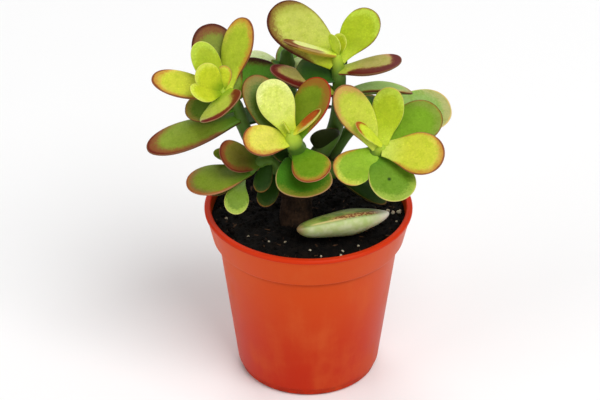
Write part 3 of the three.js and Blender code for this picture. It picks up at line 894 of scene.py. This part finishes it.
def dyed(made, width, tone, rim, strength, scar):
    """Writes a leaf's paints and rim into its points, where the leaf's skin reads them."""
    line_paint, blush_paint, over, under, blush, pale = RIMS[rim]
    paints = dict(zip(("foot_tone", "blade_tone", "tip_tone", "under_tone"), TONES[tone]))
    paints.update(line_tone=line_paint, blush_tone=blush_paint)
    points = len(made.data.vertices)
    for name, colour in paints.items():
        marked(made, name, "FLOAT_COLOR", paint(*colour) * points)
    reach = [2 * part / width for part in (over, under, blush)]  # as shares of half the leaf's width
    numbers = {"rim_strength": strength, "rim_reach": reach, "edge_paleness": (pale, 0, 0), "scar": scar}
    for name, values in numbers.items():
        marked(made, name, "FLOAT_VECTOR", tuple(values) * points)
    return made


# %% [markdown]
# ## The green stems
# A stem follows a smooth curve through its points. It is a disc extruded along the curve, a little thicker
# where a pair of leaves clasps it, with a faint ring there. Leaves start on the middle line at their share
# of its length, so the curve is measured once and asked for the place at any share.


# %% A curve through points
DENSE_STEPS = 50  # between two of the points


def smooth_path(points, steps=40):
    """Places at even shares of the length of a smooth curve through the points."""
    first = points[0] + (points[0] - points[1])
    last = points[-1] + (points[-1] - points[-2])
    ends = [first, *points, last]
    dense = []
    for a, b, c, d in zip(ends, ends[1:], ends[2:], ends[3:]):
        before, here, after = (max((q - p).length ** 0.5, 1e-6) for p, q in ((a, b), (b, c), (c, d)))
        leave = ((b - a) / before - (c - a) / (before + here) + (c - b) / here) * here
        arrive = ((c - b) / here - (d - b) / (here + after) + (d - c) / after) * here
        for k in range(DENSE_STEPS):
            t = k / DENSE_STEPS
            dense.append(
                b * (2 * t**3 - 3 * t**2 + 1)
                + leave * (t**3 - 2 * t**2 + t)
                + c * (3 * t**2 - 2 * t**3)
                + arrive * (t**3 - t**2)
            )
    dense.append(points[-1].copy())
    lengths = [0.0]
    for p, q in zip(dense, dense[1:]):
        lengths.append(lengths[-1] + (q - p).length)
    places = []
    at = 0
    for k in range(steps + 1):
        wanted = lengths[-1] * k / steps
        while at + 2 < len(dense) and lengths[at + 1] < wanted:
            at += 1
        part = (wanted - lengths[at]) / max(lengths[at + 1] - lengths[at], 1e-9)
        places.append(dense[at].lerp(dense[at + 1], min(1, part)))
    return places


def place_at(places, share):
    at = share * (len(places) - 1)
    low = min(int(at), len(places) - 2)
    return places[low].lerp(places[low + 1], at - low)


# %% A stem swept along a curve
STEM_SIDES = 20
NODE_LENGTH = 0.025  # of the stem's length
NODE_SWELLING = 0.09  # of its radius
SLIMMING = 0.35  # of its radius, at the tip
SLIM_FROM = 0.85  # of its length
DOME_RINGS = ((0.35, 0.9), (0.8, 0.55), (1, 0.15))  # how far up the domed tip, and how wide there


def swept(name, places, radius_at, sides=STEM_SIDES, dome=0.7):
    """A round stem through places. radius_at gives its radius at a share of the way."""
    shares = [k / (len(places) - 1) for k in range(len(places))]
    ahead = (places[1] - places[0]).normalized()
    across = ahead.orthogonal().normalized()
    rings = []
    for k, place in enumerate(places):
        ahead = (places[min(k + 1, len(places) - 1)] - places[max(k - 1, 0)]).normalized()
        across = (across - ahead * across.dot(ahead)).normalized()
        other = ahead.cross(across)
        turns = [TAU * j / sides for j in range(sides)]
        rays = [across * math.cos(t) + other * math.sin(t) for t in turns]
        rings.append([place + radius_at(shares[k]) * ray for ray in rays])
    for lift, narrow in DOME_RINGS:
        middle = places[-1] + ahead * (lift * dome) * radius_at(1)
        rings.append([middle + (p - places[-1]) * narrow for p in rings[len(places) - 1]])
    made = disc(name, sides, 1 * MM, 0)
    for vertex, place in zip(made.data.vertices, rings[0]):
        vertex.co = place
    extruded(made, rings[1:])
    ring_numbers = [min(vertex.index // sides, len(places) - 1) for vertex in made.data.vertices]
    marked(made, "stem_share", "FLOAT", [shares[k] for k in ring_numbers])
    only(made)
    bpy.ops.object.shade_smooth()
    return made


def stem_radius(stem):
    """Gives the radius at a share of the way: it swells at each pair of leaves and slims at the tip."""
    foot, tip = (r * MM for r in stem["radius"])
    nodes = sorted({leaf[0] for leaf in stem["leaves"]})

    def radius(share):
        swelling = sum(math.exp(-(((share - at) / NODE_LENGTH) ** 2)) for at in nodes)
        slimming = 1 - SLIMMING * max(0, (share - SLIM_FROM) / (1 - SLIM_FROM)) ** 2
        return (foot + (tip - foot) * share) * (1 + NODE_SWELLING * min(1, swelling)) * slimming

    return radius


# %% [markdown]
# ## The woody trunk
# The old part of a jade plant is a short thick trunk with grey-brown bark, marked by rings where pairs of
# leaves once sat. It forks low into a limb under each green stem. Every branch is swept on its own, then the
# lot is joined and remade as one skin of even small faces, which melts the crotches together. Noise and rings
# then work the bark.

# %% Trunk and limbs
TRUNK_FOOT = Vector((-6.3, -8, 62)) * MM
TRUNK_AT_SOIL = Vector((-6.3, -8, 90)) * MM
FORK = Vector((-5.5, -2, 107)) * MM
TRUNK_RADII = (9.2 * MM, 7.4 * MM)
TRUNK_SIDES = 36
LIMB_RADIUS = 5.4 * MM
LIMB_SIDES = 28
CROTCH_DEPTH = 6 * MM
BARK_CELL = 0.65 * MM
SCAR_RING_HEIGHT = 0.3 * MM
BARK_ROUGHNESS = 0.35 * MM

stem_starts = []
for stem in STEMS.values():
    places = stem["places"] = smooth_path([Vector(p) * MM for p in stem["path"]])
    stem_starts.append((places[0], (places[1] - places[0]).normalized(), stem["radius"][0] * MM))


def between(low, high):
    return lambda share: low + (high - low) * share


trunk_line = smooth_path([TRUNK_FOOT, TRUNK_AT_SOIL, FORK], 24)
branches = [swept("trunk_core", trunk_line, between(*TRUNK_RADII), TRUNK_SIDES)]
for start, ahead, radius in stem_starts:
    crotch = FORK - Vector((0, 0, CROTCH_DEPTH))
    points = [crotch, start - 7 * MM * ahead, start - 3 * MM * ahead, start - 0.2 * MM * ahead]
    radii = between(LIMB_RADIUS, radius * 1.04)
    branches.append(swept("limb", smooth_path(points, 20), radii, LIMB_SIDES, dome=0.5))
trunk = joined("woody_trunk", branches)
applied(trunk, "REMESH", mode="VOXEL", voxel_size=BARK_CELL)
applied(trunk, "SMOOTH", factor=0.5, iterations=5)
normals = [vertex.normal.copy() for vertex in trunk.data.vertices]
greening = []
for vertex, normal in zip(trunk.data.vertices, normals):
    place = vertex.co / MM
    rings = math.sin(place.z * 1.25 + 1.6 * noise.noise(place * 0.12)) ** 8
    rough = noise.fractal(Vector((place.x * 0.5, place.y * 0.5, place.z * 0.22)), 0.7, 2.1, 4)
    nearest = min((vertex.co - start).length / MM for start, _, _ in stem_starts)
    calm = min(1, max(0.1, (nearest - 3) / 8))
    vertex.co += normal * (SCAR_RING_HEIGHT * rings + BARK_ROUGHNESS * rough) * calm
    greening.append(min(1, max(0, 1 - (nearest - 3) / 9)))
marked(trunk, "greening", "FLOAT", greening)
count(trunk)
only(trunk)
bpy.ops.object.shade_smooth()

# %% Bark
bark = Finish("jade_bark", Specular_IOR_Level=0.15)
cloud = bark.noise(6 * MM, detail=5.0, roughness=0.6)
grain = bark.noise(1.1 * MM, detail=5.0, roughness=0.65, place=bark.stretched(1, 1, 0.35))
cracks = 1 - bark.cells(2.2 * MM, bark.stretched(1.2, 1.2, 0.4)).ramp(0.0, 0.5)
tone = bark.mix(cloud.ramp(0.35, 0.65), paint(30, 20, 14), paint(62, 44, 30))
tone = bark.mix(grain.ramp(0.5, 0.75) * 0.5, tone, paint(88, 66, 46))
tone = bark.mix(cracks * 0.5, tone, paint(22, 14, 9))
young = bark.attribute("greening", "Fac") + (cloud - 0.5) * 0.8
tone = bark.mix(young.ramp(0.35, 1.0) * 0.85, tone, paint(88, 100, 46))
worn(trunk, bark.wear(tone, 0.7 + 0.25 * grain, grain * 1.5 + cloud - cracks * 0.5, depth=0.4 * MM))
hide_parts("trunk")
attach(trunk, "root")

# %% [markdown]
# ## Leaf skin and stem skin
# The skin is waxy: a faint broad shine over flesh that lets a little light through. Its colour is the leaf's
# tone from foot to tip, with deeper green patches, clouded and finely dotted. The rim follows the margin: a
# dark line, then a blush that breaks up into specks towards the middle, and on some leaves a pale edge
# outside the line. A stem is brownish where it leaves the wood and yellow-green at the tip of a crown in the
# light: a young shoot's own colour, painted only on the lit crowns, so partly painted light.

# %% Leaf skin: where a point is on its leaf
skin = Finish(
    "leaf_skin",
    Specular_IOR_Level=0.1,
    Subsurface_Weight=0.1,
    Subsurface_Scale=3 * MM,
    Subsurface_Radius=(0.6, 1.0, 0.2),
    Coat_Weight=0.03,
    Coat_Roughness=0.3,
)


def on_leaf(finish):
    """How far along its leaf a point is, from foot to tip, and how far across and up in its section."""
    leaf_place = finish.node("ShaderNodeUVMap", {"uv_map": "leaf_map"})
    turn = finish.axis(0, leaf_place) * TAU
    return finish.axis(1, leaf_place), turn.math("COSINE"), turn.math("SINE")


along, across, up = on_leaf(skin)
past = ((along - WIDEST_AT) / (1 - WIDEST_AT)).most(0)
half_width = (1 - past**TIP_POWER).most(0) ** (1 / CORNER_POWER)
edge = (past**TIP_POWER + (abs(across) * half_width) ** CORNER_POWER) ** (1 / CORNER_POWER)
inward = 1 - edge
on_face = up.ramp(-0.12, 0.12)

# %% Leaf skin: the tone
CLOUD_SIZE = 6 * MM
PATCH_SIZE = 3 * MM
SPECK_SIZE = 1.0 * MM
DOT_SPACING = 1.1 * MM
GREENER = (0.74, 0.8, 0.5, 1)  # what the deeper green patches multiply the tone by
cloud = skin.noise(CLOUD_SIZE, detail=4.0)
fine = skin.noise(SPECK_SIZE, detail=3.0, roughness=0.6)
tone = skin.mix(along.ramp(0, 0.45), skin.attribute("foot_tone"), skin.attribute("blade_tone"))
towards_tip = (edge.ramp(0.35, 1.0) * along.ramp(0.4, 0.9) + (fine - 0.5) * 0.9).ramp(0.15, 0.85)
tone = skin.mix(towards_tip * along.ramp(0.2, 0.6), tone, skin.attribute("tip_tone"))
tone = skin.mix(on_face, skin.attribute("under_tone"), tone)
patch = skin.noise(PATCH_SIZE, detail=5.0, roughness=0.65)
tone = skin.mix(patch.ramp(0.42, 0.68) * 0.75, tone, GREENER, "MULTIPLY")
tone = skin.tinted(tone, 0.66 + 0.36 * cloud + 0.44 * fine)
dots = 1 - skin.cells(DOT_SPACING).ramp(0.1, 0.34)
tone = skin.tinted(tone, 1 + dots * cloud.ramp(0.35, 0.6) * 0.22)

# %% Leaf skin: the rim
LEAST_DEPTH = 0.001  # so that nothing is divided by 0
strength = skin.attribute("rim_strength", "Vector")
reach = skin.attribute("rim_reach", "Vector")
right = across.ramp(-0.1, 0.7) * skin.axis(0, strength)
left = (across * -1).ramp(-0.1, 0.7) * skin.axis(1, strength)
tip = past.ramp(0.1, 0.8) * skin.axis(2, strength)
rim = right.most(left).most(tip) * along.ramp(0.08, 0.4)
uneven = rim * (0.5 + cloud)
line_reach = skin.axis(1, reach) + (skin.axis(0, reach) - skin.axis(1, reach)) * on_face
line_depth = (line_reach * uneven).most(LEAST_DEPTH)
line = (1 - inward / line_depth + (fine - 0.5) * 0.5).ramp(0, 0.7) * rim.ramp(0.05, 0.5)
blush_depth = (skin.axis(2, reach) * uneven + line_depth).most(LEAST_DEPTH)
blush = (1 - inward / blush_depth + (fine - 0.5) * 1.2).ramp(0.05, 0.85) * rim.ramp(0.05, 0.4) * on_face
tone = skin.mix(blush * 0.75, tone, skin.attribute("blush_tone"))
tone = skin.mix(line * 0.95, tone, skin.tinted(skin.attribute("line_tone"), 0.75 + 0.5 * fine))
pale_edge = (1 - inward.ramp(0.015, 0.05)) * skin.axis(0, skin.attribute("edge_paleness", "Vector"))
tone = skin.mix(pale_edge * along.ramp(0.1, 0.4), tone, paint(236, 222, 150))

# %% Leaf skin: the scar and the shine
scar = skin.attribute("scar", "Vector")
scar_gap = ((along - skin.axis(0, scar)) ** 2 + ((across - skin.axis(1, scar)) * 0.4) ** 2) ** 0.5
scarred = (1 - scar_gap.ramp(0.01, 0.05)) * skin.axis(2, scar)
tone = skin.mix(scarred, tone, paint(30, 50, 14))
leaf_skin = skin.wear(tone, 0.34 + 0.16 * cloud, fine * 0.6 + cloud * 2, depth=0.05 * MM)

# %% Stem skin
green = Finish("stem_skin", Specular_IOR_Level=0.25, Subsurface_Weight=0.08, Subsurface_Scale=2 * MM)
share = green.attribute("stem_share", "Fac")
cloud = green.noise(5 * MM, detail=4.0)
ring_lines = green.noise(1.3 * MM, place=green.stretched(0.25, 0.25, 1.0))
tone = green.mix(share.ramp(0, 0.25), paint(50, 60, 24), paint(82, 116, 36))
# partly painted light: the yellow-green young tip is painted only on the crowns in the light
tone = green.mix(share.ramp(0.82, 1.0) * green.attribute("lit_young_tip", "Fac"), tone, paint(170, 196, 52))
tone = green.tinted(tone, 0.75 + 0.5 * cloud)
tone = green.mix(ring_lines.ramp(0.58, 0.75) * 0.35, tone, paint(120, 130, 70))
stem_skin = green.wear(tone, 0.4 + 0.2 * cloud, ring_lines + cloud, depth=0.12 * MM)

# %% Every leafy stem
SCARRED_LEAF = ("right", 1)  # an old leaf with a sunken dark spot
SCAR = (0.55, 0.1, 0.9)  # how far along and across, and how dark
NO_SCAR = (0, 0, 0)
# painted light: the crowns in the light, whose stems get the yellow-green tip
LIT_CROWNS = ("top", "left", "front", "right")
for stem_name, stem in STEMS.items():
    places = stem["places"]
    pieces = [worn(swept("stem", places, stem_radius(stem)), stem_skin)]
    bright = float(stem_name in LIT_CROWNS)
    marked(pieces[0], "lit_young_tip", "FLOAT", [bright] * len(pieces[0].data.vertices))
    for index, (share, azimuth, rise, roll, length, width, bend, spoon, *looks) in enumerate(stem["leaves"]):
        foot = place_at(places, share)
        slant = (azimuth, rise, roll)
        leaf = grown_leaf("leaf", foot, slant, (length * MM, width * MM), bend, spoon)
        scar = SCAR if (stem_name, index) == SCARRED_LEAF else NO_SCAR
        pieces.append(worn(dyed(leaf, width, *looks, scar), leaf_skin))
    made = count(joined(f"jade_stem_{stem_name}", pieces))
    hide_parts(f"leafy_stem_{stem_name}")
    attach(made, "root")

# %% [markdown]
# ## The fallen leaf
# It is the same leaf, plumper, fleshy nearly to its tip, and with a narrow foot that has healed round where
# it broke off. It lies on its belly with its near margin raised, so a brown dried band and a pale crease show
# along the margin, the green face is foreshortened beyond it and the pale underside faces the viewer. It is
# drying out, so its foot has gone brown. Its tip is painted whitish, a painted highlight.

# %% Fallen leaf
FALLEN_FOOT = Vector((-5.8, -31, 98.5)) * MM
FALLEN_SLANT = (19, 0, -28)
FALLEN_SIZE = (48 * MM, 26 * MM)
fallen = grown_leaf(
    "fallen_jade_leaf", FALLEN_FOOT, FALLEN_SLANT, FALLEN_SIZE, bend=0, spoon=1.1,
    sunk=0, neck=0.3, foot_share=0.5, fatness=2.1, taper=0.9, heal=0.12,
)
drying = Finish("drying_leaf_skin", Specular_IOR_Level=0.45, Subsurface_Weight=0.1, Subsurface_Scale=3 * MM)
along, across, up = on_leaf(drying)
cloud = drying.noise(5 * MM, detail=4.0)
fine = drying.noise(0.9 * MM, detail=3.0)
face_tone = drying.mix(cloud.ramp(0.35, 0.65), paint(100, 132, 44), paint(150, 166, 74))
belly_tone = drying.mix(cloud.ramp(0.3, 0.75), paint(176, 196, 116), paint(208, 214, 166))
tone = drying.mix((up + 0.25 * cloud).ramp(0.05, 0.35), belly_tone, face_tone)
band = (1 - (abs(up - 0.42) + 0.5 * (fine - 0.5)).ramp(0.1, 0.34)) * across.ramp(0.2, 0.6)
band = band * along.ramp(0.26, 0.4) * (1 - along.ramp(0.78, 0.92))
dried = drying.mix(fine.ramp(0.45, 0.62), paint(124, 54, 24), paint(220, 176, 112))
tone = drying.mix(band * 0.9, tone, dried)
crease = (1 - abs(up - 0.26).ramp(0.03, 0.16)) * across.ramp(0.2, 0.6)
crease = crease * along.ramp(0.08, 0.18) * (1 - along.ramp(0.36, 0.5))
tone = drying.mix(crease * 0.7, tone, paint(228, 204, 136))
# painted highlight: the tip is painted whitish
tone = drying.mix(along.ramp(0.72, 0.97) * 0.85, tone, paint(236, 228, 210))
tone = drying.mix((1 - along.ramp(0.0, 0.1)) * 0.8, tone, paint(150, 112, 72))
worn(fallen, drying.wear(tone, 0.34 + 0.2 * cloud, fine + cloud * 2, depth=0.06 * MM))
count(fallen)
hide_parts("fallen_leaf")
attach(fallen, "root")
bpy.data.objects.remove(master_leaf)
